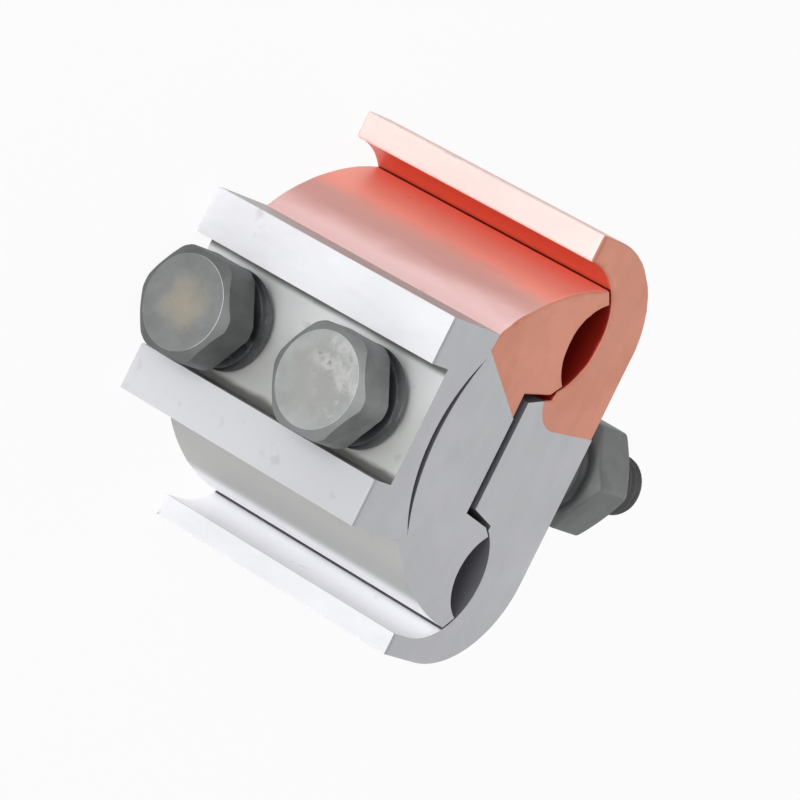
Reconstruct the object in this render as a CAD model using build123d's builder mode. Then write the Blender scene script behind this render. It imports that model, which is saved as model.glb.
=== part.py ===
from build123d import *
import math
import os

os.makedirs("parts", exist_ok=True)

# Two-bolt parallel groove clamp. The extruded section lies in XY and runs along +Z.
# Bolt heads face -Y, the copper groove is on the -X side, the origin is on the foot.
# Section sizes are given as (depth from the rail tips, distance from the middle plane).

# ---- driving dimensions (mm) ----
jaw_length = 39.5
bolt_pitch = 22.5
origin_depth = 26.2

# front jaw
channel_depth = 3.3
rail_inner = 7.4
rail_outer = 13.3
bulge_start = 9.5
bulge_radius = 28.0
half_groove_radius = 6.3
slit_depth = 6.75
slit_width = 0.9
slit_radius = 21.6
slit_reach_copper = 10.2
slit_reach_aluminium = 12.5

# rear jaw
back_depth = 36.0
boss_depth = 20.65
boss_half = 7.0
boss_root_depth = 25.0
boss_root_half = 8.3

# hook of each side: inner arc centre and radius, outer arc centre, tip
copper_hook_depth = 19.9
copper_hook_offset = 16.4
copper_hook_radius = 8.7
copper_outer_offset = 16.2
copper_outer_radius = 12.4
copper_tip_run = 0.4
aluminium_hook_depth = 19.9
aluminium_hook_offset = 15.6
aluminium_hook_radius = 8.4
aluminium_outer_offset = 13.9
aluminium_outer_radius = 12.8
aluminium_tip_run = 2.9

# clearances between the two jaws
boss_gap = 1.3
flank_gap = 0.75
nose_gap = 0.2

# copper boundary
seam_corner_depth = 9.2
seam_corner_half = 11.2
seam_floor_half = 4.6
rear_seam_half = 4.7
rear_seam_rise = 0.7
rear_seam_lead = 1.7
rear_seam_run = 2.6
rear_seam_bow = 0.5
seam_overshoot = 0.3

# M8 hardware
bolt_diameter = 8.0
bolt_length = 60.0
bolt_point = 0.8
head_across_flats = 13.0
head_height = 5.3
head_face = 12.1
nut_across_flats = 14.0
nut_height = 7.5
nut_face = 13.0
nut_bore_clearance = 0.05
hole_clearance = 0.5
washer_clearance = 0.2
washer_diameter = 16.0
washer_thickness = 1.6
coil_section = 2.1
coil_inner = 8.3
coil_height = 5.0
coil_trim = 0.1
coil_split_deg = 8.0

# ---- derived positions ----
bolt_heights = [jaw_length / 2 - bolt_pitch / 2, jaw_length / 2 + bolt_pitch / 2]
hole_radius = bolt_diameter / 2 + hole_clearance
head_seat = channel_depth - coil_height - origin_depth
back_y = back_depth - origin_depth
coil_seat = back_y + washer_thickness
nut_seat = coil_seat + coil_height
bolt_end = head_seat + bolt_length


def place(depth, across):
    """Section point from its depth and its distance towards the copper side."""
    return (-across, depth - origin_depth)


def on_hook(depth, offset, radius, degrees, side):
    """Point on a hook's inner circle, or on one a clearance inside it."""
    turn = math.radians(degrees)
    return place(depth + radius * math.cos(turn), side * (offset + radius * math.sin(turn)))


def front_side(side, depth, offset, radius):
    """Corner points of one half of the front jaw, from the channel to the recess."""
    reach = radius - nose_gap
    nose = on_hook(depth, offset, reach, 48, side)
    lip = on_hook(depth, offset, reach, 34, side)
    inner = on_hook(depth, offset, reach, -47, side)
    flank = place(boss_root_depth - flank_gap, side * (boss_root_half + flank_gap / 2))
    corner = place(boss_depth - boss_gap, side * (boss_half + flank_gap))
    return nose, lip, inner, flank, corner


front_copper = front_side(1, copper_hook_depth, copper_hook_offset, copper_hook_radius)
front_aluminium = front_side(-1, aluminium_hook_depth, aluminium_hook_offset,
                             aluminium_hook_radius)

# ---- front jaw section ----
with BuildSketch(Plane.XY) as front_section:
    with BuildLine():
        Polyline(
            place(bulge_start, rail_outer),
            place(0, rail_outer),
            place(0, rail_inner),
            place(channel_depth, rail_inner),
            place(channel_depth, -rail_inner),
            place(0, -rail_inner),
            place(0, -rail_outer),
            place(bulge_start, -rail_outer),
        )
        nose, lip, inner, flank, corner = front_aluminium
        RadiusArc(place(bulge_start, -rail_outer), nose, -bulge_radius)
        Line(nose, lip)
        RadiusArc(lip, inner, half_groove_radius)
        last = corner
        Polyline(inner, flank, corner)
        nose, lip, inner, flank, corner = front_copper
        Polyline(last, corner, flank, inner)
        RadiusArc(inner, lip, half_groove_radius)
        Line(lip, nose)
        RadiusArc(nose, place(bulge_start, rail_outer), -bulge_radius)
    make_face()
    slit_end_copper = slit_radius - math.sqrt(slit_radius**2 - slit_reach_copper**2)
    slit_end_aluminium = slit_radius - math.sqrt(slit_radius**2 - slit_reach_aluminium**2)
    with BuildLine():
        ThreePointArc(
            place(slit_depth + slit_end_copper, slit_reach_copper),
            place(slit_depth - slit_width / 2, 0),
            place(slit_depth + slit_end_aluminium, -slit_reach_aluminium),
        )
        ThreePointArc(
            place(slit_depth + slit_end_aluminium, -slit_reach_aluminium),
            place(slit_depth + slit_width / 2, 0),
            place(slit_depth + slit_end_copper, slit_reach_copper),
        )
    make_face(mode=Mode.SUBTRACT)

with BuildSketch(Plane.XY) as front_copper_zone:
    with BuildLine():
        Polyline(
            place(bulge_start, rail_outer),
            place(seam_corner_depth, seam_corner_half),
            place(boss_depth - boss_gap, seam_floor_half),
            place(back_depth, seam_floor_half),
            place(back_depth, 2 * copper_hook_offset),
            place(bulge_start, 2 * copper_hook_offset),
            close=True,
        )
    make_face()

# ---- rear jaw section ----
with BuildSketch(Plane.XY) as rear_section:
    with BuildLine():
        start = on_hook(aluminium_hook_depth, aluminium_hook_offset,
                        aluminium_hook_radius, -53, -1)
        middle = on_hook(aluminium_hook_depth, aluminium_hook_offset,
                         aluminium_hook_radius, 20, -1)
        top = on_hook(aluminium_hook_depth, aluminium_hook_offset,
                      aluminium_hook_radius, 90, -1)
        crown = aluminium_outer_offset + aluminium_outer_radius
        tip = aluminium_hook_depth - aluminium_tip_run
        ThreePointArc(start, middle, top)
        Polyline(
            top,
            place(tip, -(aluminium_hook_offset + aluminium_hook_radius)),
            place(tip, -crown),
            place(back_depth - aluminium_outer_radius, -crown),
        )
        RadiusArc(
            place(back_depth - aluminium_outer_radius, -crown),
            place(back_depth, -aluminium_outer_offset),
            -aluminium_outer_radius,
        )
        Line(place(back_depth, -aluminium_outer_offset), place(back_depth, copper_outer_offset))
        crown = copper_outer_offset + copper_outer_radius
        tip = copper_hook_depth - copper_tip_run
        RadiusArc(
            place(back_depth, copper_outer_offset),
            place(back_depth - copper_outer_radius, crown),
            -copper_outer_radius,
        )
        above = on_hook(copper_hook_depth, copper_hook_offset, copper_hook_radius, 90, 1)
        centre = on_hook(copper_hook_depth, copper_hook_offset, copper_hook_radius, 20, 1)
        below = on_hook(copper_hook_depth, copper_hook_offset, copper_hook_radius, -53, 1)
        Polyline(
            place(back_depth - copper_outer_radius, crown),
            place(tip, crown),
            place(tip, copper_hook_offset + copper_hook_radius),
            above,
        )
        ThreePointArc(above, centre, below)
        Polyline(
            below,
            place(boss_root_depth, boss_root_half),
            place(boss_depth, boss_half),
            place(boss_depth, -boss_half),
            place(boss_root_depth, -boss_root_half),
            start,
        )
    make_face()

with BuildSketch(Plane.XY) as rear_copper_zone:
    with BuildLine():
        seam_top = place(boss_root_depth - rear_seam_lead, boss_root_half + seam_overshoot)
        seam_low = place(boss_root_depth + rear_seam_run, rear_seam_half)
        seam_bend = (boss_root_half + rear_seam_half) / 2 - rear_seam_bow
        ThreePointArc(seam_top, place(boss_root_depth - rear_seam_bow, seam_bend), seam_low)
        Polyline(
            seam_low,
            place(back_depth, rear_seam_half + rear_seam_rise),
            place(2 * back_depth, rear_seam_half + rear_seam_rise),
            place(2 * back_depth, 2 * copper_hook_offset),
            place(bulge_start, 2 * copper_hook_offset),
            place(bulge_start, boss_root_half + seam_overshoot),
            seam_top,
        )
    make_face()

# ---- jaws ----
with BuildPart() as front_jaw_aluminium:
    with BuildSketch(Plane.XY):
        add(front_section.sketch)
        add(front_copper_zone.sketch, mode=Mode.SUBTRACT)
    extrude(amount=jaw_length)
    with BuildSketch(Plane.XZ):
        with Locations([(0, z) for z in bolt_heights]):
            Circle(hole_radius)
    extrude(amount=2 * back_depth, both=True, mode=Mode.SUBTRACT)
front_jaw_aluminium.part.label = "front_jaw_aluminium"
export_step(front_jaw_aluminium.part, "parts/front_jaw_aluminium.step")

with BuildPart() as front_jaw_copper:
    with BuildSketch(Plane.XY):
        add(front_section.sketch)
        add(front_copper_zone.sketch, mode=Mode.INTERSECT)
    extrude(amount=jaw_length)
    with BuildSketch(Plane.XZ):
        with Locations([(0, z) for z in bolt_heights]):
            Circle(hole_radius)
    extrude(amount=2 * back_depth, both=True, mode=Mode.SUBTRACT)
front_jaw_copper.part.label = "front_jaw_copper"
export_step(front_jaw_copper.part, "parts/front_jaw_copper.step")

with BuildPart() as rear_jaw_aluminium:
    with BuildSketch(Plane.XY):
        add(rear_section.sketch)
        add(rear_copper_zone.sketch, mode=Mode.SUBTRACT)
    extrude(amount=jaw_length)
    with BuildSketch(Plane.XZ):
        with Locations([(0, z) for z in bolt_heights]):
            Circle(hole_radius)
    extrude(amount=2 * back_depth, both=True, mode=Mode.SUBTRACT)
rear_jaw_aluminium.part.label = "rear_jaw_aluminium"
export_step(rear_jaw_aluminium.part, "parts/rear_jaw_aluminium.step")

with BuildPart() as rear_jaw_copper:
    with BuildSketch(Plane.XY):
        add(rear_section.sketch)
        add(rear_copper_zone.sketch, mode=Mode.INTERSECT)
    extrude(amount=jaw_length)
    with BuildSketch(Plane.XZ):
        with Locations([(0, z) for z in bolt_heights]):
            Circle(hole_radius)
    extrude(amount=2 * back_depth, both=True, mode=Mode.SUBTRACT)
rear_jaw_copper.part.label = "rear_jaw_copper"
export_step(rear_jaw_copper.part, "parts/rear_jaw_copper.step")


def split_washer(seat, z):
    """One helical split spring washer in its free state, its flat ends ground square."""
    rise = coil_height - coil_section + 2 * coil_trim
    turn = (360 - coil_split_deg) / 360
    radius = (coil_inner + coil_section) / 2
    with BuildPart() as coil:
        with BuildLine():
            Helix(pitch=rise / turn, height=rise, radius=radius, lefthand=True)
        with BuildSketch(Plane(origin=(radius, 0, 0), x_dir=(1, 0, 0), z_dir=(0, 1, 0))):
            Rectangle(coil_section, coil_section)
        sweep(is_frenet=True)
        with Locations((0, 0, coil_trim - coil_section / 2)):
            Cylinder(
                coil_inner + coil_section,
                coil_height,
                align=(Align.CENTER, Align.CENTER, Align.MIN),
                mode=Mode.INTERSECT,
            )
    lift = coil_section / 2 - coil_trim
    return Location((0, seat, z), (-90, 0, 0)) * Location((0, 0, lift)) * coil.part


# ---- fasteners, one set per bolt ----
for number, z in enumerate(bolt_heights, start=1):
    with BuildPart() as bolt:
        with BuildSketch(Plane.XZ.offset(-head_seat)):
            with Locations((0, z)):
                RegularPolygon(head_across_flats / 2, 6, major_radius=False, rotation=30)
        extrude(amount=head_height)
        with Locations(Location((0, head_seat, z), (90, 0, 0))):
            Cone(
                head_face / 2 + head_height * math.tan(math.radians(60)),
                head_face / 2,
                head_height,
                align=(Align.CENTER, Align.CENTER, Align.MIN),
                mode=Mode.INTERSECT,
            )
        with BuildSketch(Plane.XZ.offset(-head_seat)):
            with Locations((0, z)):
                Circle(bolt_diameter / 2)
        extrude(amount=-bolt_length)
        chamfer(bolt.faces().sort_by(Axis.Y)[-1].edges(), bolt_point)
    bolt.part.label = f"bolt_{number}"
    export_step(bolt.part, f"parts/bolt_{number}.step")

    head_coil = split_washer(head_seat, z)
    head_coil.label = f"head_spring_washer_{number}"
    export_step(head_coil, f"parts/head_spring_washer_{number}.step")

    with BuildPart() as flat_washer:
        with BuildSketch(Plane.XZ.offset(-back_y)):
            with Locations((0, z)):
                Circle(washer_diameter / 2)
                Circle(bolt_diameter / 2 + washer_clearance, mode=Mode.SUBTRACT)
        extrude(amount=-washer_thickness)
    flat_washer.part.label = f"flat_washer_{number}"
    export_step(flat_washer.part, f"parts/flat_washer_{number}.step")

    nut_coil = split_washer(coil_seat, z)
    nut_coil.label = f"nut_spring_washer_{number}"
    export_step(nut_coil, f"parts/nut_spring_washer_{number}.step")

    with BuildPart() as nut:
        with BuildSketch(Plane.XZ.offset(-nut_seat)):
            with Locations((0, z)):
                RegularPolygon(nut_across_flats / 2, 6, major_radius=False, rotation=30)
        extrude(amount=-nut_height)
        with Locations(Location((0, nut_seat, z), (-90, 0, 0))):
            Cone(
                nut_face / 2 + nut_height * math.tan(math.radians(60)),
                nut_face / 2,
                nut_height,
                align=(Align.CENTER, Align.CENTER, Align.MIN),
                mode=Mode.INTERSECT,
            )
        with BuildSketch(Plane.XZ.offset(-nut_seat)):
            with Locations((0, z)):
                Circle(bolt_diameter / 2 + nut_bore_clearance)
        extrude(amount=-nut_height, mode=Mode.SUBTRACT)
    nut.part.label = f"nut_{number}"
    export_step(nut.part, f"parts/nut_{number}.step")
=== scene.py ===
"""Parallel groove clamp: worn jaws, threaded bolts, nuts, washers, floor, light and camera."""

import math

import bmesh
import bpy
from bpy.props import FloatProperty, FloatVectorProperty, IntProperty, PointerProperty
from mathutils import Matrix, Vector, noise
from mathutils.bvhtree import BVHTree


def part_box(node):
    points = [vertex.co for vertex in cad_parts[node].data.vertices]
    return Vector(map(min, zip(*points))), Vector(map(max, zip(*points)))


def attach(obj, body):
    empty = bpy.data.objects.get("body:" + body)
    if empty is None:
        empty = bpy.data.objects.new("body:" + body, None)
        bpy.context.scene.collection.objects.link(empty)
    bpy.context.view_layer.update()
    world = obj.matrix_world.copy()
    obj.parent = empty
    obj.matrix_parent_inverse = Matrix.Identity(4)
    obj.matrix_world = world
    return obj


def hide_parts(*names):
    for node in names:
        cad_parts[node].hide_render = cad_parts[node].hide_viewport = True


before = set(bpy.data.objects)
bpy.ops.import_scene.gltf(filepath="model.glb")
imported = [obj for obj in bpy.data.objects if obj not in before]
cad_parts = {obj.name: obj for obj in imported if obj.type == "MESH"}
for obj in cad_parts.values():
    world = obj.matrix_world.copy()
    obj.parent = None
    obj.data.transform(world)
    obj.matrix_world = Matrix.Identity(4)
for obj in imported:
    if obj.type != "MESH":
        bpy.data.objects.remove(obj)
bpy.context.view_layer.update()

bl_info = {
    "name": "Parallel Groove Clamp",
    "version": (1, 0, 0),
    "blender": (4, 5, 0),
    "location": "3D View > Sidebar > Clamp",
    "description": "Dresses a bimetallic parallel groove clamp and its studio",
    "category": "Object",
}

MM = 0.001
FRONT, REAR = "front_jaw", "rear_jaw"
JAWS = {
    "front_jaw_aluminium": (FRONT, "jaw_aluminium", "front_jaw_copper"),
    "front_jaw_copper": (FRONT, "jaw_copper", "front_jaw_aluminium"),
    "rear_jaw_aluminium": (REAR, "jaw_aluminium", "rear_jaw_copper"),
    "rear_jaw_copper": (REAR, "jaw_copper", "rear_jaw_aluminium"),
}
TIPPED = ("front_jaw_aluminium", "rear_jaw_aluminium", "rear_jaw_copper")
BOLTS = (1, 2)
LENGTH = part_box("front_jaw_aluminium")[1][2]

# How the hollows between the jaws are measured
SECTION_LEVEL = 2 * MM
OPEN_RAYS = 32
OPEN_START = 0.6 * MM

# Joining, and what counts as a sharp edge, a seam or a closed gap
WELD = 0.002 * MM
CUT_REACH = 0.001 * MM
FLAT_ANGLE = math.radians(0.4)
JAW_EDGE_ANGLE = math.radians(32)
HEX_EDGE_ANGLE = math.radians(22)
SEAM_REACH = 0.02 * MM
CLOSED_GAP = 0.4 * MM

# Hexagons: the corner circle as a share of the full corner, and the rounded edges
HEAD_CORNER = 0.945
NUT_CORNER = 0.995
HEAD_BEVEL = 0.45 * MM
NUT_BEVEL = 0.40 * MM
SEAT_RELIEF = 0.05 * MM
CHAMFER_SLOPE = math.tan(math.radians(30))
FACE_RING = 0.55
HEAD_DENT = 0.05 * MM
HEAD_DENTS = 700

# Bolts, nuts and washers: how far parts run into each other, and their small edges
SHANK_OVERLAP = 0.2 * MM
SHANK_SIDES = 48
RUN_OUT = 0.3 * MM
THREAD_CREST = 0.14
THREAD_FLANK = 0.70
THREAD_PLAY = 0.03 * MM
THREAD_POINT = 0.8 * MM
ROWS_A_TURN = 12
NUT_BORE = 4.05 * MM
NUT_BORE_FLARE = 0.5 * MM
NUT_BORE_DROP = 0.45 * MM
WASHER_BORE = 4.2 * MM
WASHER_EDGE = 0.2 * MM
COIL_PLAY = 0.02 * MM
COIL_ROUND = 0.25 * MM
COIL_STEPS = 96

# Soft steps across the section (X), each from its dull to its full side; most of them place painted
# light and shade in the jaws' hollows.
CHANNEL_LOW = (7.8 * MM, 7.5 * MM)
CHANNEL_HIGH = (-7.8 * MM, -7.5 * MM)
LOW_CORNER = (5.9 * MM, 6.9 * MM)
HIGH_CORNER = (-6.2 * MM, -7.0 * MM)
BRIGHT_FLOOR = (2 * MM, -5 * MM)
HIGH_FLANK = (-12.0 * MM, -13.0 * MM)
LOW_BULGE = (12.5 * MM, 13.5 * MM)
LOW_RAIL_IN = (2 * MM, 4 * MM)
LOW_RAIL_OUT = (18 * MM, 16 * MM)
DUSKY = (-14.2 * MM, -17.2 * MM)
CORAL = (-17.6 * MM, -20.6 * MM)
BY_THE_HOOK = (-18.8 * MM, -21.4 * MM)
INSIDE_HOOK = (-14.0 * MM, -16.5 * MM)

# The studio: a lamp is a name, its place, its side and its power
LAMPS = (
    ("key", (-0.08, -0.90, 0.25), 0.5, 4.2),
    ("fill", (-0.10, -0.55, 0.85), 0.7, 2.1),
    ("low", (0.65, -0.55, 0.20), 0.6, 1.1),
    ("back", (-0.1, 0.8, 0.5), 0.6, 1.4),
)
SKY_STRENGTH = 0.34
FLOOR_WHITE = 0.93
EYE_PLACE = (-0.0508, -0.4841, 0.3732)
EYE_FORWARD = (0.0857, 0.8037, -0.5888)
EYE_RIGHT = (-0.4412, 0.5605, 0.7009)
LENS = 225


# ---------------------------------------------------------------- settings

class ClampSizes(bpy.types.PropertyGroup):
    """Sizes that the dressed clamp adds to its solids."""

    edge_round: FloatProperty(
        name="Edge rounding", description="Width of the worn bevel along the jaws' edges",
        default=0.30 * MM, unit="LENGTH", precision=5)
    edge_wear: FloatProperty(
        name="Edge wear", description="Deepest nick along the jaws' edges",
        default=0.26 * MM, unit="LENGTH", precision=5)
    wear_step: FloatProperty(
        name="Wear spacing", description="Distance between the cuts that carry the nicks",
        default=0.7 * MM, unit="LENGTH", precision=5)
    shade_step: FloatProperty(
        name="Shade spacing", description="Distance between the cuts that carry the openness",
        default=1.0 * MM, unit="LENGTH", precision=5)
    head_height: FloatProperty(
        name="Head height", description="Height of a bolt head",
        default=5.3 * MM, unit="LENGTH", precision=5)
    face_share: FloatProperty(
        name="Face share", description="Flat face of a head or nut as a share of its width",
        default=0.90, subtype="FACTOR", min=0.5, max=1.0)
    bolt_radius: FloatProperty(
        name="Bolt radius", description="Radius of a bolt's plain shank",
        default=4.0 * MM, unit="LENGTH", precision=5)
    thread_length: FloatProperty(
        name="Thread length", description="Threaded length of a bolt",
        default=22 * MM, unit="LENGTH", precision=5)
    thread_pitch: FloatProperty(
        name="Thread pitch", description="Distance between two thread ridges",
        default=1.25 * MM, unit="LENGTH", precision=5)
    thread_depth: FloatProperty(
        name="Thread depth", description="Height of a thread ridge",
        default=0.62 * MM, unit="LENGTH", precision=5)
    thread_sides: IntProperty(
        name="Thread sides", description="Faces around a thread", default=48, min=12, max=96)
    coil_section: FloatProperty(
        name="Coil section", description="Side of a spring washer's square section",
        default=2.1 * MM, unit="LENGTH", precision=5)
    coil_split: FloatProperty(
        name="Coil split", description="Angle left open in a spring washer",
        default=math.radians(8), unit="ROTATION")


class ClampLook(bpy.types.PropertyGroup):
    """Colours of the clamp's finishes, in linear light."""

    aluminium: FloatVectorProperty(
        name="Aluminium", description="Extruded aluminium", subtype="COLOR",
        default=(0.66, 0.67, 0.65), min=0, max=1)
    aluminium_sawn: FloatVectorProperty(
        name="Sawn aluminium", description="Sawn ends of the aluminium", subtype="COLOR",
        default=(0.46, 0.46, 0.48), min=0, max=1)
    copper: FloatVectorProperty(
        name="Copper", description="Extruded copper", subtype="COLOR",
        default=(1.0, 0.65, 0.635), min=0, max=1)
    copper_sawn: FloatVectorProperty(
        name="Sawn copper", description="Sawn ends of the copper", subtype="COLOR",
        default=(0.60, 0.245, 0.165), min=0, max=1)
    galvanised: FloatVectorProperty(
        name="Galvanised steel", description="Dull zinc coat", subtype="COLOR",
        default=(0.17, 0.178, 0.176), min=0, max=1)
    spring_steel: FloatVectorProperty(
        name="Spring steel", description="Dark oiled spring steel", subtype="COLOR",
        default=(0.060, 0.062, 0.066), min=0, max=1)


# ---------------------------------------------------------------- shader maths

class Wire:
    """A node socket that takes part in Python sums."""

    def __init__(self, shader, socket):
        self.shader = shader
        self.socket = socket

    def _math(self, operation, *values):
        return self.shader.node("ShaderNodeMath", {"operation": operation}, *values)

    def __add__(self, other):
        return self._math("ADD", self, other)

    def __radd__(self, other):
        return self._math("ADD", other, self)

    def __sub__(self, other):
        return self._math("SUBTRACT", self, other)

    def __rsub__(self, other):
        return self._math("SUBTRACT", other, self)

    def __mul__(self, other):
        return self._math("MULTIPLY", self, other)

    def __rmul__(self, other):
        return self._math("MULTIPLY", other, self)

    def __abs__(self):
        return self._math("ABSOLUTE", self)

    def smooth(self, low, high):
        """0 below low, 1 above high, and a soft step between them."""
        return self.shader.node(
            "ShaderNodeMapRange", {"interpolation_type": "SMOOTHSTEP"},
            {"Value": self, "From Min": low, "From Max": high})


class Shader:
    """One procedural material, built on a Principled BSDF."""

    def __init__(self, name):
        self.material = bpy.data.materials.new(name)
        self.material.use_nodes = True
        self.tree = self.material.node_tree
        self.tree.nodes.clear()
        self.surface = self.tree.nodes.new("ShaderNodeBsdfPrincipled")
        self.output = self.tree.nodes.new("ShaderNodeOutputMaterial")
        self.tree.links.new(self.surface.outputs[0], self.output.inputs["Surface"])
        self.place = self.node("ShaderNodeTexCoord", {}, out="Object")

    def _feed(self, socket, value):
        if isinstance(value, Wire):
            self.tree.links.new(value.socket, socket)
        elif socket.type == "RGBA" and len(value) == 3:
            socket.default_value = (*value, 1.0)
        else:
            socket.default_value = value

    def node(self, kind, settings, *values, out=0):
        """Adds a node: settings first, then its sockets by order or in one dict by name."""
        new = self.tree.nodes.new(kind)
        for key, value in settings.items():
            setattr(new, key, value)
        if values and isinstance(values[0], dict):
            for key, value in values[0].items():
                self._feed(new.inputs[key], value)
        else:
            for socket, value in zip(new.inputs, values):
                self._feed(socket, value)
        return Wire(self, new.outputs[out])

    def mapped(self, scale=(1, 1, 1), turn=(0, 0, 0), shift=(0, 0, 0)):
        """Place on the piece, stretched, turned or moved."""
        return self.node("ShaderNodeMapping", {}, {
            "Vector": self.place, "Scale": scale, "Rotation": turn, "Location": shift})

    def noise(self, scale, detail=4.0, roughness=0.55, vector=None, distortion=0.0):
        return self.node("ShaderNodeTexNoise", {}, {
            "Vector": vector or self.place, "Scale": scale, "Detail": detail,
            "Roughness": roughness, "Distortion": distortion}, out="Fac")

    def crystals(self, scale, vector):
        """One random tone for each crystal of a zinc coat."""
        cells = self.node("ShaderNodeTexVoronoi", {"feature": "F1"}, {
            "Vector": vector, "Scale": scale}, out="Color")
        return self.node("ShaderNodeSeparateXYZ", {}, cells, out="X")

    def blend(self, share, first, second):
        """Colour first where share is 0, second where it is 1."""
        new = self.tree.nodes.new("ShaderNodeMix")
        new.data_type = "RGBA"
        self._feed(new.inputs["Factor"], share)
        self._feed(new.inputs[6], first)
        self._feed(new.inputs[7], second)
        return Wire(self, new.outputs[2])

    def value(self, attribute):
        """A number that the mesh carries."""
        return self.node("ShaderNodeAttribute", {"attribute_name": attribute}, out="Fac")

    def facing(self, axis):
        """How far the surface faces along one axis, -1 to 1."""
        normal = self.node("ShaderNodeNewGeometry", {}, out="Normal")
        return self.node("ShaderNodeSeparateXYZ", {}, normal, out=axis)

    def along(self, axis):
        """Position along one axis, in metres."""
        return self.node("ShaderNodeSeparateXYZ", {}, self.place, out=axis)

    def finish(self, colour, roughness, metallic, height, depth, strength):
        """Feeds the surface, with a height from 0 to 1 that is so deep as relief."""
        bump = self.node("ShaderNodeBump", {}, {
            "Strength": strength, "Distance": depth, "Height": height}, out="Normal")
        for name, value in (("Base Color", colour), ("Roughness", roughness),
                            ("Metallic", metallic), ("Normal", bump)):
            self._feed(self.surface.inputs[name], value)


def shade(colour, share):
    """A darker or lighter copy of a colour."""
    return tuple(min(1.0, channel * share) for channel in colour)


def jaw_metal(name, side, sawn, blush, tip, recess_shade, hollow):
    """Extruded metal: die lines along the sides, tips with a painted highlight, painted shade in the
    recesses and on the lower rail's tips, fine saw marks on the ends.
    """
    s = Shader(name)
    end = abs(s.facing("Z")).smooth(0.40, 0.65)
    lines = s.noise(900, 3, 0.6, s.mapped(scale=(1, 1, 0.012)))
    streaks = s.noise(140, 3, 0.5, s.mapped(scale=(1, 1, 0.06)))
    cloud = s.noise(75, 3, 0.5)
    patches = s.noise(190, 4, 0.6).smooth(0.4, 0.7)
    flushed = s.noise(110, 3, 0.6, s.mapped(shift=(0.5, 0.2, 0.6))).smooth(0.46, 0.60)
    smears = s.noise(260, 4, 0.65, s.mapped(scale=(1, 1, 0.35)))
    saw = s.noise(420, 4, 0.65, s.mapped(scale=(0.25, 1.6, 1), turn=(0, 0, 0.5)))
    grain = s.noise(2600, 2, 0.5)
    nicks = s.noise(420, 3, 0.6, s.mapped(scale=(1, 0.5, 1), turn=(0, 0, 0.7)))
    nicks = nicks.smooth(0.735, 0.77)
    stains = s.noise(330, 3, 0.5, s.mapped(shift=(0.3, 0.1, 0.2))).smooth(0.66, 0.78)

    side_colour = s.blend(streaks.smooth(0.3, 0.75), shade(side, 0.92), shade(side, 1.05))
    side_colour = hollow(s, side_colour)
    # Painted highlight: the tips take a pale colour that stands in for the lamp's reflection; their
    # matt roughness is real.
    pale = s.blend(smears.smooth(0.35, 0.7), tip, shade(tip, 0.94))
    # Painted shade: the lower rail's tips are darker than the other tips, and darker still towards
    # the near end.
    across = s.along("X")
    low_rail = across.smooth(*LOW_RAIL_IN) * across.smooth(*LOW_RAIL_OUT)
    low_rail_shade = s.blend(s.along("Z").smooth(4 * MM, 36 * MM), shade(tip, 0.79), shade(tip, 0.66))
    pale = s.blend(low_rail, pale, low_rail_shade)
    matt_lit_tip = s.value("tip").smooth(0.3, 0.7)
    side_colour = s.blend(matt_lit_tip, side_colour, pale)
    side_colour = s.blend(stains * 0.3, side_colour, shade(sawn, 0.7))
    # Painted shade: walls that see little open air take the darker recess colour.
    side_colour = s.blend(s.value("openness").smooth(0.03, 0.005), side_colour, recess_shade)

    end_colour = s.blend(cloud.smooth(0.35, 0.7), shade(sawn, 0.93), shade(sawn, 1.07))
    end_colour = s.blend(patches * 0.5, end_colour, shade(sawn, 0.90))
    end_colour = s.blend(flushed * 0.6, end_colour, blush)
    end_colour = s.blend(saw.smooth(0.35, 0.7) * 0.2, end_colour, shade(sawn, 1.14))
    end_colour = s.blend(nicks * 0.4, end_colour, shade(sawn, 1.35))

    colour = s.blend(end, side_colour, end_colour)
    roughness = (0.42 + 0.14 * end + 0.22 * matt_lit_tip + 0.10 * (cloud - 0.5)
                 + 0.08 * (lines - 0.5))
    height = (lines * (1 - end) * 0.5 + saw * end * 0.35 + grain * 0.12 + smears * 0.3
              - nicks * end * 0.5 - stains * 0.6)
    s.finish(colour, roughness, 0.35 - 0.28 * matt_lit_tip, height, 0.03 * MM, 0.5)


def aluminium_hollow(s, colour):
    """Painted light on the channel floor and inside the lower hook, painted shade in the channel's
    corners and on the high flank, and darker metal beyond the lower bulge.
    """
    across = s.along("X")
    soft = (s.noise(260, 4, 0.6, s.mapped(scale=(1, 1, 0.5))) - 0.5) * (1.6 * MM)
    channel = across.smooth(*CHANNEL_LOW) * across.smooth(*CHANNEL_HIGH)
    low_corner = (across + soft).smooth(*LOW_CORNER)
    high_corner = (across + soft * 0.3).smooth(*HIGH_CORNER)
    below_tips = s.along("Y").smooth(-25.8 * MM, -25.2 * MM)
    # Painted shade: dark bands in the channel's corners beside the rails.
    corner_shade = channel * below_tips * (low_corner + high_corner)
    # Painted light: the channel floor is paler towards the high rail.
    floor = channel * s.facing("Y").smooth(-0.6, -0.9)
    floor_light = floor * (across + soft).smooth(*BRIGHT_FLOOR)
    colour = s.blend(floor_light * 0.7, colour, (0.95, 0.96, 0.97))
    colour = s.blend(corner_shade * 0.85, colour, (0.085, 0.085, 0.078))
    # Painted shade: the high rail's outer flank, which faces -X, is darker.
    flank_shade = s.facing("X").smooth(-0.6, -0.9) * across.smooth(*HIGH_FLANK)
    colour = s.blend(flank_shade * 0.7, colour, (0.36, 0.33, 0.33))
    beyond = across.smooth(*LOW_BULGE)
    colour = s.blend(beyond, colour, (0.50, 0.50, 0.485))
    # Painted light: sheltered walls beyond the lower bulge are made near white, for the light inside
    # the lower hook.
    shelter = s.value("openness").smooth(0.75, 0.30)
    return s.blend(beyond * shelter, colour, (0.98, 0.98, 1.0))


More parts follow.
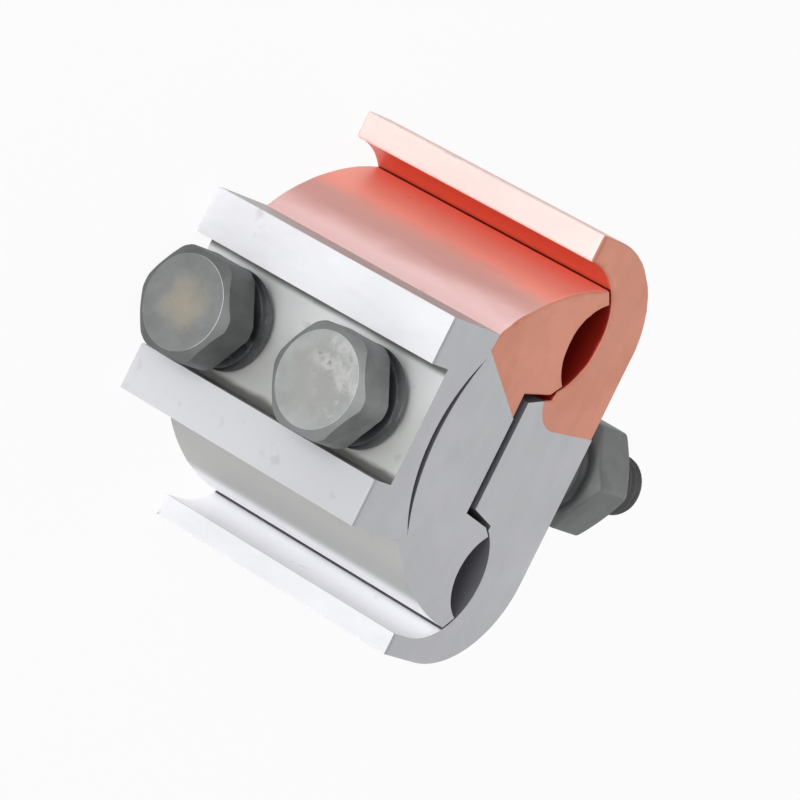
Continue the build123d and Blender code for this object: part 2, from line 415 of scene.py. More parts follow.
def copper_hollow(s, colour):
    """Pink by the rail, dusky along the middle, then painted reflected light: coral by the hook, and
    red with painted shade inside it.
    """
    across = s.along("X")
    bulge = s.facing("X").smooth(0.1, -0.1) * s.facing("Y").smooth(0.05, -0.05)
    soft = (s.noise(120, 4, 0.6, s.mapped(scale=(1, 1, 0.4))) - 0.5) * (4 * MM)
    faded = s.noise(70, 3, 0.5, s.mapped(scale=(1, 1, 0.3), shift=(0.2, 0.4, 0)))
    faded = faded.smooth(0.42, 0.66)
    tinted = s.blend((across + soft).smooth(*DUSKY), colour, (0.66, 0.33, 0.29))
    tinted = s.blend(faded * 0.4, tinted, (1.0, 0.60, 0.57))
    # Painted reflected light: the coral and the warmer red by the hook stand in for copper lit by
    # copper.
    tinted = s.blend((across + soft).smooth(*CORAL), tinted, (1.0, 0.33, 0.25))
    tinted = s.blend(across.smooth(*BY_THE_HOOK), tinted, (1.0, 0.40, 0.31))
    colour = s.blend(bulge, colour, tinted)
    # Painted shade with painted reflected red: the hook's inner face, which faces +X.
    inside = s.facing("X").smooth(0.15, 0.6) * across.smooth(*INSIDE_HOOK)
    return s.blend(inside, colour, (0.76, 0.15, 0.085))


def zinc_coat(s, side, face, seed):
    """A zinc coat's place, its cloud, the colours of sides and face, and its relief."""
    place = s.mapped(shift=(seed, seed * 0.7, seed * 0.3))
    cloud = s.noise(260, 5, 0.6, place)
    fine = s.noise(1500, 4, 0.6, place)
    clouded = cloud.smooth(0.3, 0.7)
    side_colour = s.blend(clouded, shade(side, 0.78), shade(side, 1.22))
    side_colour = s.blend(s.crystals(420, place) * 0.2, side_colour, shade(side, 1.5))
    face_colour = s.blend(clouded, shade(face, 0.88), shade(face, 1.12))
    return place, cloud, side_colour, face_colour, cloud * 0.8 + fine * 0.25


def worn_lit_rim(s, axis):
    """The worn edge round a face, which also carries a painted highlight, mostly on the lit side."""
    beside = s.along("Z") - axis - s.along("X") * 0.4
    lit_side = 0.2 + 0.8 * beside.smooth(1 * MM, 4 * MM)
    return s.value("edge_wear") * (0 - s.facing("Y")).smooth(0.84, 0.90) * lit_side


def zinc_faces(s, side_colour, chamfer, rim, face_colour):
    """Sides in one colour, the chamfer partly and the face wholly in another: the lighter face and
    darker sides are painted light and shade.
    """
    towards = 0 - s.facing("Y")
    colour = s.blend(towards.smooth(0.70, 0.84) * rim, side_colour, chamfer)
    return s.blend(towards.smooth(0.90, 0.99), colour, face_colour)


def finish_zinc(s, colour, cloud, edge, height):
    """A dull cloudy coat, a little smoother along its worn edge."""
    roughness = 0.55 + 0.2 * (cloud - 0.5) - 0.12 * edge
    s.finish(colour, roughness, 0.4, height, 0.10 * MM, 0.7)


def galvanised(name, side, face, seed):
    """Dull zinc coat of a nut or a flat washer."""
    s = Shader(name)
    _place, cloud, side_colour, face_colour, height = zinc_coat(s, side, face, seed)
    colour = zinc_faces(s, side_colour, face, 0.3, face_colour)
    finish_zinc(s, colour, cloud, worn_lit_rim(s, 0.0), height)


def galvanised_bolt(name, side, face, seed, axis, rim, rim_glint, centre, reach, bruises=None):
    """Zinc coat of a bolt: a struck face with a worn rim that carries a painted highlight, and a
    darker shank.

    rim says how far the chamfer takes the face's colour; the argument after it sets how bright the
    painted highlight on the edge is.
    centre is the struck colour, fading out over reach. bruises are pale marks.
    """
    s = Shader(name)
    place, cloud, side_colour, face_colour, height = zinc_coat(s, side, face, seed)
    across, beside = s.along("X"), s.along("Z") - axis
    from_axis = s.node("ShaderNodeMath", {"operation": "SQRT"},
                       across * across + beside * beside)
    ragged = s.noise(330, 4, 0.6, place, 0.4) - 0.5
    struck = (from_axis + ragged * (6 * MM)).smooth(*reach)
    face_colour = s.blend(struck * 0.8, face_colour, centre)
    if bruises:
        pits = s.noise(900, 3, 0.5, place).smooth(0.60, 0.68)
        bruise = (s.noise(430, 5, 0.65, place, 0.3).smooth(0.43, 0.64)
                  * (beside - across).smooth(-3 * MM, 3 * MM))
        face_colour = s.blend(bruise * 0.75, face_colour, bruises)
        face_colour = s.blend(bruise * pits * 0.8, face_colour, shade(face, 0.45))
        height = height + bruise * 0.3 - bruise * pits * 0.5
    colour = zinc_faces(s, side_colour, face, rim, face_colour)
    edge = worn_lit_rim(s, axis)
    # Painted highlight: the worn rim is brightened, mostly on the lit side.
    colour = s.blend(edge * rim_glint, colour, (0.80, 0.80, 0.80))
    colour = s.blend(s.along("Y").smooth(0.0, MM), colour, (0.075, 0.072, 0.074))
    finish_zinc(s, colour, cloud, edge, height)


def oiled_steel(name, base):
    """Dark spring steel with a thin uneven oil film."""
    s = Shader(name)
    cloud = s.noise(240, 4, 0.6)
    fine = s.noise(1800, 3, 0.6)
    rub = s.noise(420, 4, 0.6, s.mapped(scale=(1, 3, 1))).smooth(0.56, 0.68)
    colour = s.blend(cloud.smooth(0.3, 0.7), shade(base, 0.7), shade(base, 1.5))
    colour = s.blend(rub * 0.4, colour, shade(base, 4.0))
    s.finish(colour, 0.46 + 0.2 * (cloud - 0.5), 0.6, cloud * 0.6 + fine * 0.3,
             0.05 * MM, 0.5)


def metals():
    """The clamp's materials by name, made once."""
    look = bpy.context.scene.clamp_look
    if "clamp aluminium" not in bpy.data.materials:
        # The tip colours are painted highlights and the recess colours are painted shade.
        jaw_metal("clamp aluminium", look.aluminium, look.aluminium_sawn,
                  blush=(0.43, 0.44, 0.45), tip=(0.86, 0.86, 0.89),
                  recess_shade=(0.20, 0.20, 0.22), hollow=aluminium_hollow)
        jaw_metal("clamp copper", look.copper, look.copper_sawn,
                  blush=(0.52, 0.20, 0.12), tip=(1.0, 0.84, 0.79),
                  recess_shade=(0.30, 0.014, 0.006), hollow=copper_hollow)
        zinc = look.galvanised
        # The heads' and the nut's sides are painted darker than their faces, as shade.
        galvanised_bolt("clamp head 1", shade(zinc, 0.62), shade(zinc, 1.20), 0.13,
                        axis_height("flat_washer_1"), rim=0.15, rim_glint=0.9, centre=(0.36, 0.32, 0.25),
                        reach=(4.6 * MM, 0.4 * MM))
        galvanised_bolt("clamp head 2", shade(zinc, 0.86), shade(zinc, 2.10), 0.57,
                        axis_height("flat_washer_2"), rim=0.25, rim_glint=0.4, centre=(0.33, 0.33, 0.31),
                        reach=(6.2 * MM, 2.4 * MM), bruises=(0.52, 0.52, 0.51))
        galvanised("clamp nut", shade(zinc, 0.78), zinc, 0.31)
        # Painted shade: the flat washers and the nut-side spring washers are made near black, for the
        # shade between the jaw and the nuts.
        galvanised("clamp flat washer", shade(zinc, 0.2), shade(zinc, 0.3), 0.71)
        oiled_steel("clamp nut spring washer", shade(look.spring_steel, 0.4))
        oiled_steel("clamp spring steel", look.spring_steel)
    return bpy.data.materials


# ---------------------------------------------------------------- mesh helpers

def settle(obj, body, slot_name, *nodes):
    """Hides a finished piece's CAD nodes and hands the piece to its body; its slot name is not used.
    """
    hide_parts(*nodes)
    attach(obj, body)


def piece(name, bm, material, smooth_angle=30):
    """A mesh object at the origin from a bmesh, shaded smooth up to an angle."""
    mesh = bpy.data.meshes.new(name)
    bm.to_mesh(mesh)
    bm.free()
    for polygon in mesh.polygons:
        polygon.use_smooth = True
    mesh.set_sharp_from_angle(angle=math.radians(smooth_angle))
    obj = bpy.data.objects.new(name, mesh)
    bpy.context.scene.collection.objects.link(obj)
    mesh.materials.clear()
    mesh.materials.append(material)
    return obj


def axis_height(node):
    """Height of the axis that a bolt, a nut or a washer is built round."""
    low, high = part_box(node)
    return (low[2] + high[2]) / 2


def baked(obj, modifier):
    """The mesh that an object's modifier makes, with the modifier removed."""
    graph = bpy.context.evaluated_depsgraph_get()
    mesh = bpy.data.meshes.new_from_object(obj.evaluated_get(graph), depsgraph=graph)
    obj.modifiers.remove(modifier)
    return mesh


def flatten_shading(obj):
    """Bakes area-weighted normals, so that flat faces beside rounded edges look flat."""
    modifier = obj.modifiers.new("flat faces", "WEIGHTED_NORMAL")
    modifier.keep_sharp = True
    modifier.weight = 80
    old = obj.data
    obj.data = baked(obj, modifier)
    obj.data.name = obj.name
    bpy.data.meshes.remove(old)


def node_mesh(node):
    """A welded copy of a CAD node, its flat faces made whole."""
    bm = bmesh.new()
    bm.from_mesh(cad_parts[node].data)
    bmesh.ops.remove_doubles(bm, verts=bm.verts, dist=WELD)
    bmesh.ops.dissolve_limit(bm, angle_limit=FLAT_ANGLE, verts=bm.verts, edges=bm.edges)
    return bm


def surface_of(*nodes):
    """Some CAD nodes as one surface to measure from."""
    whole = bmesh.new()
    for node in nodes:
        whole.from_mesh(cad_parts[node].data)
    surface = BVHTree.FromBMesh(whole)
    whole.free()
    return surface


def sharp_edges(bm, partner, opposite):
    """Sharp convex edges, but not the seam, nor those that close on the other jaw."""
    found = []
    for edge in bm.edges:
        if len(edge.link_faces) != 2 or edge.calc_face_angle_signed(0.0) < JAW_EDGE_ANGLE:
            continue
        start, end = (vert.co for vert in edge.verts)
        middle = (start + end) / 2
        if partner.find_nearest(middle)[3] < SEAM_REACH:
            continue
        along = abs((start - end).normalized().z) > 0.9
        if along and opposite.find_nearest(middle)[3] < CLOSED_GAP:
            continue
        found.append(edge)
    return found


def openness(walls, seen, place, normal):
    """Share of the directions across the section that reach open air from a wall."""
    flat = Vector((normal.x, normal.y, 0))
    if flat.length < 0.2:
        return 1.0
    flat.normalize()
    key = (round(place.x / MM, 1), round(place.y / MM, 1),
           round(math.atan2(flat.y, flat.x), 1))
    if key not in seen:
        start = Vector((place.x, place.y, SECTION_LEVEL)) + flat * OPEN_START
        free = 0.0
        total = 0.0
        for index in range(OPEN_RAYS):
            angle = math.pi * ((index + 0.5) / OPEN_RAYS - 0.5)
            ray = Matrix.Rotation(angle, 3, "Z") @ flat
            weight = math.cos(angle)
            total += weight
            if walls.ray_cast(start, ray)[0] is None:
                free += weight
        seen[key] = free / total
    return seen[key]


def cut_across(bm, axis, step, low, high):
    """Cuts a mesh by evenly spaced planes square to an axis."""
    normal = Vector((axis == 0, axis == 1, axis == 2))
    count = max(2, round((high - low) / step))
    for index in range(1, count):
        bmesh.ops.bisect_plane(
            bm, geom=bm.verts[:] + bm.edges[:] + bm.faces[:], dist=CUT_REACH,
            plane_co=normal * (low + (high - low) * index / count), plane_no=normal)


def nick(faces, depth):
    """Pushes the inner rows of rounded edges in by an uneven depth."""
    inner = {vert for face in faces for vert in face.verts
             if all(around in faces for around in vert.link_faces)}
    for vert in inner:
        rough = noise.noise(vert.co * 320) * 0.6 + noise.noise(vert.co * 1100) * 0.4
        chip = max(0.0, noise.noise(vert.co * 260 + Vector((5, 2, 9))) - 0.25) * 3
        vert.co -= vert.normal * min(1.0, 0.45 * abs(rough) + chip) * depth


def worn_jaw(node, sizes, walls):
    """A jaw part with nicked round edges, which knows its openness and its tips."""
    body, _slot, partner = JAWS[node]
    bm = node_mesh(node)
    low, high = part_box(node)
    cut_across(bm, 2, sizes.wear_step, low[2], high[2])
    other = node_mesh(partner)
    seam = BVHTree.FromBMesh(other)
    other.free()
    opposite = surface_of(*(name for name in JAWS if JAWS[name][0] != body))
    edges = sharp_edges(bm, seam, opposite)
    made = bmesh.ops.bevel(
        bm, geom=edges, offset=sizes.edge_round, offset_type="OFFSET", segments=3,
        profile=0.5, affect="EDGES", clamp_overlap=True)
    bm.normal_update()
    nick(set(made["faces"]), sizes.edge_wear)
    for axis in (0, 1):
        cut_across(bm, axis, sizes.shade_step, low[axis], high[axis])
    bm.normal_update()
    open_layer = bm.verts.layers.float.new("openness")
    tip_layer = bm.verts.layers.float.new("tip")
    tips_end = low[1] + sizes.edge_round if node in TIPPED else -1
    seen = {}
    for vert in bm.verts:
        sides = [face.normal for face in vert.link_faces if abs(face.normal.z) < 0.5]
        facing = sum(sides, Vector()) if sides else vert.normal
        vert[open_layer] = openness(walls, seen, vert.co, facing)
        vert[tip_layer] = float(vert.co.y < tips_end)
    return bm


def hexagon_radius(apothem, angle, corner):
    """Distance from the axis to a hexagon's side, its corners cut back to a circle."""
    sixth = math.pi / 3
    local = (angle + sixth / 2) % sixth - sixth / 2
    return min(apothem / math.cos(local), corner)


def hex_rings(apothem, height, face, turned, both, sides=96):
    """Rings of a chamfered hexagon along +Y, from its seat to its outer face.

    face is the radius of the flat face, and turned the corner circle as a share of the
    full corner. both chamfers the seat as well.
    """
    corner = apothem / math.cos(math.pi / 6) * turned
    rings = [[], [], [], []]
    for index in range(sides):
        angle = 2 * math.pi * index / sides
        reach = hexagon_radius(apothem, angle, corner)
        drop = max(0.0, reach - face) * CHAMFER_SLOPE
        if both:
            steps = [(min(face, reach), 0.0), (reach, drop)]
        else:
            steps = [(reach - SEAT_RELIEF, 0.0), (reach, SEAT_RELIEF)]
        steps += [(reach, height - drop), (min(face, reach), height)]
        for ring, (radius, level) in zip(rings, steps):
            ring.append(Vector((radius * math.cos(angle), level, radius * math.sin(angle))))
    return rings


def ring_skin(bm, rings, looped=False):
    """Joins rings of points by quads, then the last to the first or closes both ends."""
    made = [[bm.verts.new(point) for point in ring] for ring in rings]
    following = made[1:] + made[:1] if looped else made[1:]
    for low, high in zip(made, following):
        for index in range(len(low)):
            after = (index + 1) % len(low)
            bm.faces.new((low[index], high[index], high[after], low[after]))
    if not looped:
        bm.faces.new(made[0])
        bm.faces.new(list(reversed(made[-1])))


def circle(radius, level, sides=96):
    """Points round the Y axis."""
    return [Vector((radius * math.cos(2 * math.pi * i / sides), level,
                    radius * math.sin(2 * math.pi * i / sides))) for i in range(sides)]


def roughen(bm, amount, frequency, seed):
    """Pushes a cast or dipped surface in by a smooth random depth."""
    bm.normal_update()
    shift = Vector((seed, seed * 2, seed * 3))
    for vert in bm.verts:
        depth = 0.5 + 0.5 * noise.noise(vert.co * frequency + shift)
        vert.co -= vert.normal * depth * amount


def bevelled(bm, width):
    """Rounds a hexagon's edges and marks the crowns of the rounding, which carry wear and a painted
    highlight.
    """
    bmesh.ops.recalc_face_normals(bm, faces=bm.faces)
    edges = [e for e in bm.edges if len(e.link_faces) == 2
             and e.calc_face_angle(0.0) > HEX_EDGE_ANGLE]
    made = bmesh.ops.bevel(bm, geom=edges, offset=width, offset_type="OFFSET", segments=4,
                           profile=0.5, affect="EDGES", clamp_overlap=True)
    layer = bm.verts.layers.float.new("edge_wear")
    rounds = set(made["faces"])
    for vert in bm.verts:
        vert[layer] = float(all(face in rounds for face in vert.link_faces))


# ---------------------------------------------------------------- geometry nodes

class Tree:
    """A Geometry Nodes tree with named inputs that ends in Realize and Set Material."""

    def __init__(self, name, inputs):
        self.group = bpy.data.node_groups.new(name, "GeometryNodeTree")
        face = self.group.interface
        for label, kind in inputs.items():
            face.new_socket(label, in_out="INPUT", socket_type=kind)
        face.new_socket("Geometry", in_out="OUTPUT", socket_type="NodeSocketGeometry")
        self.entry = self.group.nodes.new("NodeGroupInput")
        self.exit = self.group.nodes.new("NodeGroupOutput")

    def __getitem__(self, label):
        return self.entry.outputs[label]

    def node(self, kind, settings, values, out=0):
        """Adds a node: settings first, then its sockets by name or number."""
        new = self.group.nodes.new(kind)
        for key, value in settings.items():
            setattr(new, key, value)
        for key, value in values.items():
            socket = new.inputs[key]
            if isinstance(value, bpy.types.NodeSocket):
                self.group.links.new(value, socket)
            else:
                socket.default_value = value
        return new.outputs[out]

    def math(self, operation, *values, clamp=False):
        return self.node("ShaderNodeMath", {"operation": operation, "use_clamp": clamp},
                         dict(enumerate(values)))

    def close(self, geometry):
        whole = self.node("GeometryNodeRealizeInstances", {}, {"Geometry": geometry})
        dressed = self.node("GeometryNodeSetMaterial", {},
                            {"Geometry": whole, "Material": self["Material"]})
        self.group.links.new(dressed, self.exit.inputs[0])


def thread_tree():
    """A rod whose side carries one helical ridge, with a pointed far end."""
    tree = Tree("screw thread", {
        "Radius": "NodeSocketFloat", "Depth": "NodeSocketFloat", "Pitch": "NodeSocketFloat",
        "Length": "NodeSocketFloat", "Point": "NodeSocketFloat", "Sides": "NodeSocketInt",
        "Rows": "NodeSocketInt", "Material": "NodeSocketMaterial"})
    rod = tree.node("GeometryNodeMeshCylinder", {"fill_type": "NGON"}, {
        "Vertices": tree["Sides"], "Side Segments": tree["Rows"],
        "Radius": tree["Radius"], "Depth": tree["Length"]}, out="Mesh")
    place = tree.node("GeometryNodeInputPosition", {}, {})
    parts = tree.node("ShaderNodeSeparateXYZ", {}, {0: place})
    x, y, z = parts.node.outputs
    turn = tree.math("DIVIDE", tree.math("ARCTAN2", y, x), 2 * math.pi)
    pitches = tree.math("DIVIDE", z, tree["Pitch"])
    phase = tree.math("FRACT", tree.math("SUBTRACT", pitches, turn))
    off_crest = tree.math("ABSOLUTE", tree.math("SUBTRACT", phase, 0.5))
    wave = tree.math("MULTIPLY", off_crest, 2.0)
    below_crest = tree.math("SUBTRACT", wave, THREAD_CREST)
    flank_shade = tree.math("DIVIDE", below_crest, THREAD_FLANK, clamp=True)
    cut = tree.math("MULTIPLY", flank_shade, tree["Depth"])
    ridge = tree.math("SUBTRACT", tree["Radius"], cut)
    to_end = tree.math("SUBTRACT", tree.math("MULTIPLY", tree["Length"], 0.5), z)
    tip = tree.math("SUBTRACT", tree["Radius"], tree["Point"])
    point = tree.math("ADD", tip, to_end)
    reach = tree.math("MINIMUM", ridge, point)
    share = tree.math("DIVIDE", reach, tree["Radius"])
    moved = tree.node("ShaderNodeCombineXYZ", {}, {
        0: tree.math("MULTIPLY", x, share), 1: tree.math("MULTIPLY", y, share), 2: z})
    tree.close(tree.node("GeometryNodeSetPosition", {}, {"Geometry": rod, "Position": moved}))
    return tree.group


def coil_tree():
    """A split spring washer: a rounded square section carried along one helical turn."""
    tree = Tree("split coil", {
        "Radius": "NodeSocketFloat", "Section": "NodeSocketFloat", "Round": "NodeSocketFloat",
        "Rise": "NodeSocketFloat", "Turns": "NodeSocketFloat", "Steps": "NodeSocketInt",
        "Material": "NodeSocketMaterial"})
    path = tree.node("GeometryNodeCurveSpiral", {}, {
        "Resolution": tree["Steps"], "Rotations": tree["Turns"],
        "Start Radius": tree["Radius"], "End Radius": tree["Radius"],
        "Height": tree["Rise"], "Reverse": True})
    upright = tree.node("GeometryNodeSetCurveNormal", {"mode": "Z_UP"}, {"Curve": path})
    side = tree.node("GeometryNodeCurvePrimitiveQuadrilateral", {"mode": "RECTANGLE"}, {
        "Width": tree["Section"], "Height": tree["Section"]})
    rounded = tree.node("GeometryNodeFilletCurve", {"mode": "POLY"}, {
        "Curve": side, "Radius": tree["Round"], "Count": 2})
    swept = tree.node("GeometryNodeCurveToMesh", {}, {
        "Curve": upright, "Profile Curve": rounded, "Fill Caps": True})
    tree.close(swept)
    return tree.group


def grown(tree, values, name):
    """The plain mesh that a tree makes from its named inputs."""
    mesh = bpy.data.meshes.new(name)
    obj = bpy.data.objects.new(name, mesh)
    bpy.context.scene.collection.objects.link(obj)
    modifier = obj.modifiers.new(name, "NODES")
    modifier.node_group = tree
    for item in tree.interface.items_tree:
        if item.in_out == "INPUT" and item.name in values:
            modifier[item.identifier] = values[item.name]
    result = baked(obj, modifier)
    bpy.data.objects.remove(obj)
    return result


def add_mesh(bm, mesh, matrix):
    """Adds a mesh to a bmesh, placed by a matrix."""
    mesh.transform(matrix)
    bm.from_mesh(mesh)
    bpy.data.meshes.remove(mesh)


def on_axis(node, level):
    """Takes something from the origin to a node's axis."""
    return Matrix.Translation((0, level, axis_height(node)))


def laid_on_axis(node, level):
    """Takes something that stands along +Z at the origin to a node's axis, along +Y."""
    return on_axis(node, level) @ Matrix.Rotation(-math.pi / 2, 4, "X")


# ---------------------------------------------------------------- operators

class CLAMP_OT_jaws(bpy.types.Operator):
    """Dresses the four jaw parts with worn edges and their metals"""

    bl_idname = "clamp.jaws"
    bl_label = "Jaws"

    def execute(self, context):
        sizes = context.scene.clamp_sizes
        walls = surface_of(*JAWS)
        for node, (body, slot_name, _partner) in JAWS.items():
            metal = metals()["clamp " + slot_name.split("_")[1]]
            obj = piece(node + "_worn", worn_jaw(node, sizes, walls), metal)
            flatten_shading(obj)
            settle(obj, body, slot_name, node)
        return {"FINISHED"}


def bolt_head(sizes, apothem, seed):
    """A hexagon head that stands on its seat at the origin, its struck face up +Y."""
    face = apothem * sizes.face_share
    head = bmesh.new()
    rings = hex_rings(apothem, sizes.head_height, face, HEAD_CORNER, False)
    rings.append(circle(face * FACE_RING, sizes.head_height))
    ring_skin(head, rings)
    bevelled(head, HEAD_BEVEL)
    bmesh.ops.triangulate(head, faces=[f for f in head.faces if len(f.verts) > 4])
    roughen(head, HEAD_DENT, HEAD_DENTS, seed)
    return head


def plain_shank(sizes, start, end):
    """The shank from the head's seat to the thread, where it narrows to the root."""
    shank = bmesh.new()
    root = sizes.bolt_radius - sizes.thread_depth
    ring_skin(shank, [circle(sizes.bolt_radius, start - SHANK_OVERLAP, SHANK_SIDES),
                      circle(sizes.bolt_radius, end - RUN_OUT, SHANK_SIDES),
                      circle(root, end + RUN_OUT, SHANK_SIDES)])
    return shank


def threaded_end(tree, sizes, zinc):
    """The thread along +Z, its middle at the origin."""
    rows = round(sizes.thread_length / sizes.thread_pitch * ROWS_A_TURN)
    return grown(tree, {
        "Radius": sizes.bolt_radius - THREAD_PLAY, "Depth": sizes.thread_depth,
        "Pitch": sizes.thread_pitch, "Length": sizes.thread_length,
        "Point": THREAD_POINT, "Sides": sizes.thread_sides, "Rows": rows,
        "Material": zinc}, "thread")


class CLAMP_OT_bolts(bpy.types.Operator):
    """Makes the hexagon bolts with their rolled threads"""

    bl_idname = "clamp.bolts"
    bl_label = "Bolts"

    def execute(self, context):
        sizes = context.scene.clamp_sizes
        tree = thread_tree()
        for number in BOLTS:
            node = f"bolt_{number}"
            low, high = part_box(node)
            zinc = metals()[f"clamp head {number}"]
            seat = low[1] + sizes.head_height
            head = bolt_head(sizes, (high[0] - low[0]) / 2, number)
            head.transform(on_axis(node, seat) @ Matrix.Rotation(math.pi, 4, "Z"))
            shank = plain_shank(sizes, seat, high[1] - sizes.thread_length)
            shank.transform(on_axis(node, 0))
            body = bmesh.new()
            for part in (head, shank):
                mesh = bpy.data.meshes.new("part")
                part.to_mesh(mesh)
                part.free()
                add_mesh(body, mesh, Matrix())
            middle = high[1] - sizes.thread_length / 2
            add_mesh(body, threaded_end(tree, sizes, zinc), laid_on_axis(node, middle))
            bmesh.ops.recalc_face_normals(body, faces=body.faces)
            obj = piece(node + "_threaded", body, zinc, 35)
            settle(obj, FRONT, "galvanised_steel", node)
        return {"FINISHED"}


class CLAMP_OT_nuts(bpy.types.Operator):
    """Makes the chamfered hexagon nuts"""

    bl_idname = "clamp.nuts"
    bl_label = "Nuts"

    def execute(self, context):
        sizes = context.scene.clamp_sizes
        for number in BOLTS:
            node = f"nut_{number}"
            low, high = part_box(node)
            apothem = (high[0] - low[0]) / 2
            height = high[1] - low[1]
            nut = bmesh.new()
            rings = hex_rings(apothem, height, apothem * sizes.face_share, NUT_CORNER, True)
            rings += [circle(NUT_BORE + NUT_BORE_FLARE, height),
                      circle(NUT_BORE, height - NUT_BORE_DROP),
                      circle(NUT_BORE, NUT_BORE_DROP),
                      circle(NUT_BORE + NUT_BORE_FLARE, 0.0)]
            ring_skin(nut, rings, looped=True)
            bevelled(nut, NUT_BEVEL)
            nut.transform(on_axis(node, low[1]))
            bmesh.ops.recalc_face_normals(nut, faces=nut.faces)
            obj = piece(node + "_chamfered", nut, metals()["clamp nut"], 35)
            settle(obj, node, "galvanised_steel", node)
        return {"FINISHED"}


class CLAMP_OT_spring_washers(bpy.types.Operator):
    """Makes the split spring washers"""

    bl_idname = "clamp.spring_washers"
    bl_label = "Spring washers"

    def execute(self, context):
        tree = coil_tree()
        for number in BOLTS:
            self.washer(tree, "head", number, FRONT, metals()["clamp spring steel"])
            self.washer(tree, "nut", number, REAR, metals()["clamp nut spring washer"])
        return {"FINISHED"}

    def washer(self, tree, place, number, body, steel):
        """One split washer, wound along its bolt between its two neighbours."""
        sizes = bpy.context.scene.clamp_sizes
        node = f"{place}_spring_washer_{number}"
        low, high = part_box(node)
        section = sizes.coil_section
        mesh = grown(tree, {
            "Radius": (high[0] - low[0] - section) / 2, "Section": section - COIL_PLAY,
            "Round": COIL_ROUND, "Rise": high[1] - low[1] - section,
            "Turns": 1 - sizes.coil_split / (2 * math.pi), "Steps": COIL_STEPS,
            "Material": steel}, "coil")
        coil = bmesh.new()
        add_mesh(coil, mesh, laid_on_axis(node, low[1] + section / 2))
        bmesh.ops.recalc_face_normals(coil, faces=coil.faces)
        settle(piece(node + "_coil", coil, steel, 35), body, "dark_spring_steel", node)


class CLAMP_OT_flat_washers(bpy.types.Operator):
    """Makes the flat washers under the nuts"""

    bl_idname = "clamp.flat_washers"
    bl_label = "Flat washers"

    def execute(self, context):
        for number in BOLTS:
            node = f"flat_washer_{number}"
            low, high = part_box(node)
            outer = (high[0] - low[0]) / 2
            thick = high[1] - low[1]
            edge, bore = WASHER_EDGE, WASHER_BORE
            washer = bmesh.new()
            ring_skin(washer, [
                circle(bore, thick - edge), circle(bore, edge), circle(bore + edge, 0),
                circle(outer - edge, 0), circle(outer, edge), circle(outer, thick - edge),
                circle(outer - edge, thick), circle(bore + edge, thick)], looped=True)
            washer.transform(on_axis(node, low[1]))
            bmesh.ops.recalc_face_normals(washer, faces=washer.faces)
            obj = piece(node + "_turned", washer, metals()["clamp flat washer"])
            settle(obj, REAR, "galvanised_steel", node)
        return {"FINISHED"}


def seen_plainly(tree):
    """1 for a ray from the camera or off a glossy surface, 0 for all others."""
    ray = tree.nodes.new("ShaderNodeLightPath")
    either = tree.nodes.new("ShaderNodeMath")
    either.operation = "MAXIMUM"
    tree.links.new(ray.outputs["Is Camera Ray"], either.inputs[0])
    tree.links.new(ray.outputs["Is Glossy Ray"], either.inputs[1])
    return either.outputs[0]


def mixed_surface(tree, share, usual, seen, output):
    """Ends a tree with a mix of its usual surface and the one that is seen."""
    mix = tree.nodes.new("ShaderNodeMixShader")
    for socket, value in zip(mix.inputs, (share, usual.outputs[0], seen.outputs[0])):
        tree.links.new(value, socket)
    tree.links.new(mix.outputs[0], tree.nodes.new(output).inputs["Surface"])


def white_for_camera(material, colour, share):
    """A matt surface that shows as plain white to the camera, its shadow kept in part."""
    material.use_nodes = True
    tree = material.node_tree
    tree.nodes.clear()
    matt = tree.nodes.new("ShaderNodeBsdfDiffuse")
    matt.inputs["Color"].default_value = (*colour, 1)
    glow = tree.nodes.new("ShaderNodeEmission")
    glow.inputs["Color"].default_value = (1, 1, 1, 1)
    some = tree.nodes.new("ShaderNodeMath")
    some.operation = "MULTIPLY"
    some.inputs[1].default_value = share
    tree.links.new(seen_plainly(tree), some.inputs[0])
    mixed_surface(tree, some.outputs[0], matt, glow, "ShaderNodeOutputMaterial")


def surround(tree):
    """A soft pale sky that shows as plain white."""
    tree.nodes.clear()
    seen = tree.nodes.new("ShaderNodeBackground")
    seen.inputs["Color"].default_value = (1, 1, 1, 1)
    seen.inputs["Strength"].default_value = 1.0
    soft = tree.nodes.new("ShaderNodeBackground")
    soft.inputs["Color"].default_value = (0.96, 0.98, 1.0, 1)
    soft.inputs["Strength"].default_value = SKY_STRENGTH
    mixed_surface(tree, seen_plainly(tree), soft, seen, "ShaderNodeOutputWorld")


def lamp(name, place, size, power):
    """A square soft light that faces the middle of the clamp."""
    light = bpy.data.lights.new(name, "AREA")
    light.shape = "SQUARE"
    light.size = size
    light.energy = power
    obj = bpy.data.objects.new(name, light)
    bpy.context.scene.collection.objects.link(obj)
    obj.location = place
    aim = Vector((0, 0, LENGTH / 2)) - Vector(place)
    obj.rotation_euler = aim.to_track_quat("-Z", "Y").to_euler()


def camera():
    """The camera, looking down at the sawn ends and the heads."""
    lens = bpy.data.cameras.new("camera")
    lens.lens = LENS
    lens.sensor_width = 36
    lens.clip_end = 20
    eye = bpy.data.objects.new("camera", lens)
    bpy.context.scene.collection.objects.link(eye)
    forward = Vector(EYE_FORWARD).normalized()
    right = Vector(EYE_RIGHT)
    right = (right - right.dot(forward) * forward).normalized()
    up = right.cross(forward)
    turn = Matrix((right, up, -forward)).transposed().to_4x4()
    eye.matrix_world = Matrix.Translation(EYE_PLACE) @ turn
    return eye


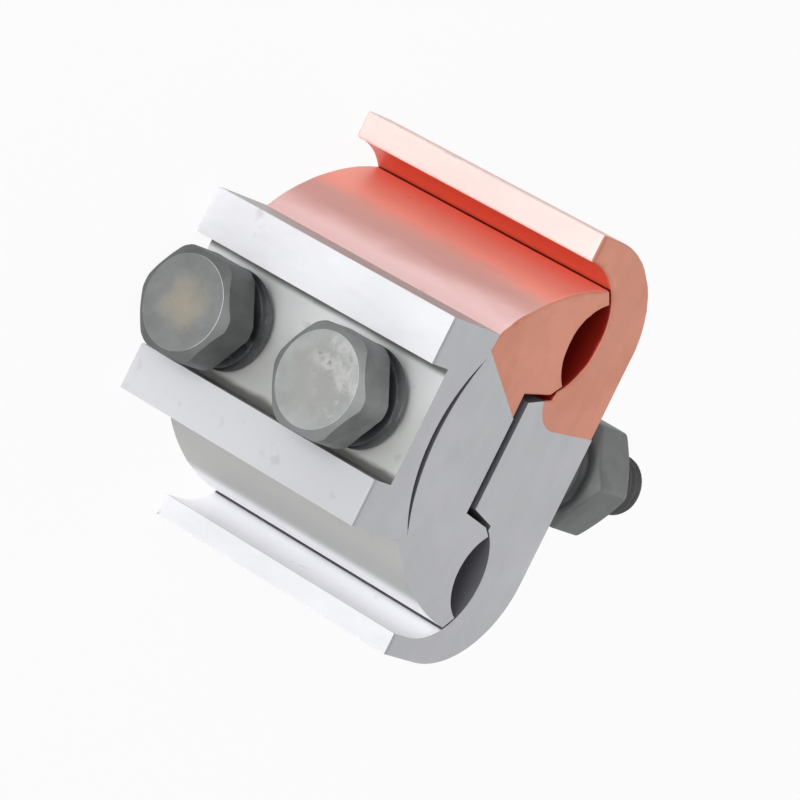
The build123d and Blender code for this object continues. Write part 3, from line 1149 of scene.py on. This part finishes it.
class CLAMP_OT_stage(bpy.types.Operator):
    """Sets the floor, the soft light, the white surround and the camera"""

    bl_idname = "clamp.stage"
    bl_label = "Stage"

    def execute(self, context):
        scene = context.scene
        scene.view_settings.view_transform = "Standard"
        bpy.ops.mesh.primitive_plane_add(size=6, location=(0, 0, 0))
        floor = context.object
        floor.name = "floor"
        floor.data.transform(floor.matrix_world)
        floor.matrix_world = Matrix()
        pale = bpy.data.materials.new("clamp floor")
        white_for_camera(pale, (0.86, 0.86, 0.87), FLOOR_WHITE)
        floor.data.materials.append(pale)

        scene.world = bpy.data.worlds.new("clamp surround")
        scene.world.use_nodes = True
        surround(scene.world.node_tree)
        for name, place, size, power in LAMPS:
            lamp(name, place, size, power)
        scene.camera = camera()
        return {"FINISHED"}


class CLAMP_PT_panel(bpy.types.Panel):
    """Lists the clamp's sizes, colours and steps"""

    bl_idname = "CLAMP_PT_panel"
    bl_label = "Parallel groove clamp"
    bl_space_type = "VIEW_3D"
    bl_region_type = "UI"
    bl_category = "Clamp"

    def draw(self, context):
        layout = self.layout
        for group in (context.scene.clamp_sizes, context.scene.clamp_look):
            column = layout.column()
            for key in group.__annotations__:
                column.prop(group, key)
        for step in STEPS:
            layout.operator(step.bl_idname)


STEPS = (CLAMP_OT_stage, CLAMP_OT_jaws, CLAMP_OT_bolts, CLAMP_OT_nuts,
         CLAMP_OT_spring_washers, CLAMP_OT_flat_washers)
CLASSES = (ClampSizes, ClampLook, *STEPS, CLAMP_PT_panel)


def register():
    for cls in CLASSES:
        bpy.utils.register_class(cls)
    bpy.types.Scene.clamp_sizes = PointerProperty(type=ClampSizes)
    bpy.types.Scene.clamp_look = PointerProperty(type=ClampLook)


def unregister():
    del bpy.types.Scene.clamp_look
    del bpy.types.Scene.clamp_sizes
    for cls in reversed(CLASSES):
        bpy.utils.unregister_class(cls)


def main():
    register()
    for step in STEPS:
        group, name = step.bl_idname.split(".")
        getattr(getattr(bpy.ops, group), name)()


if __name__ == "__main__":
    main()
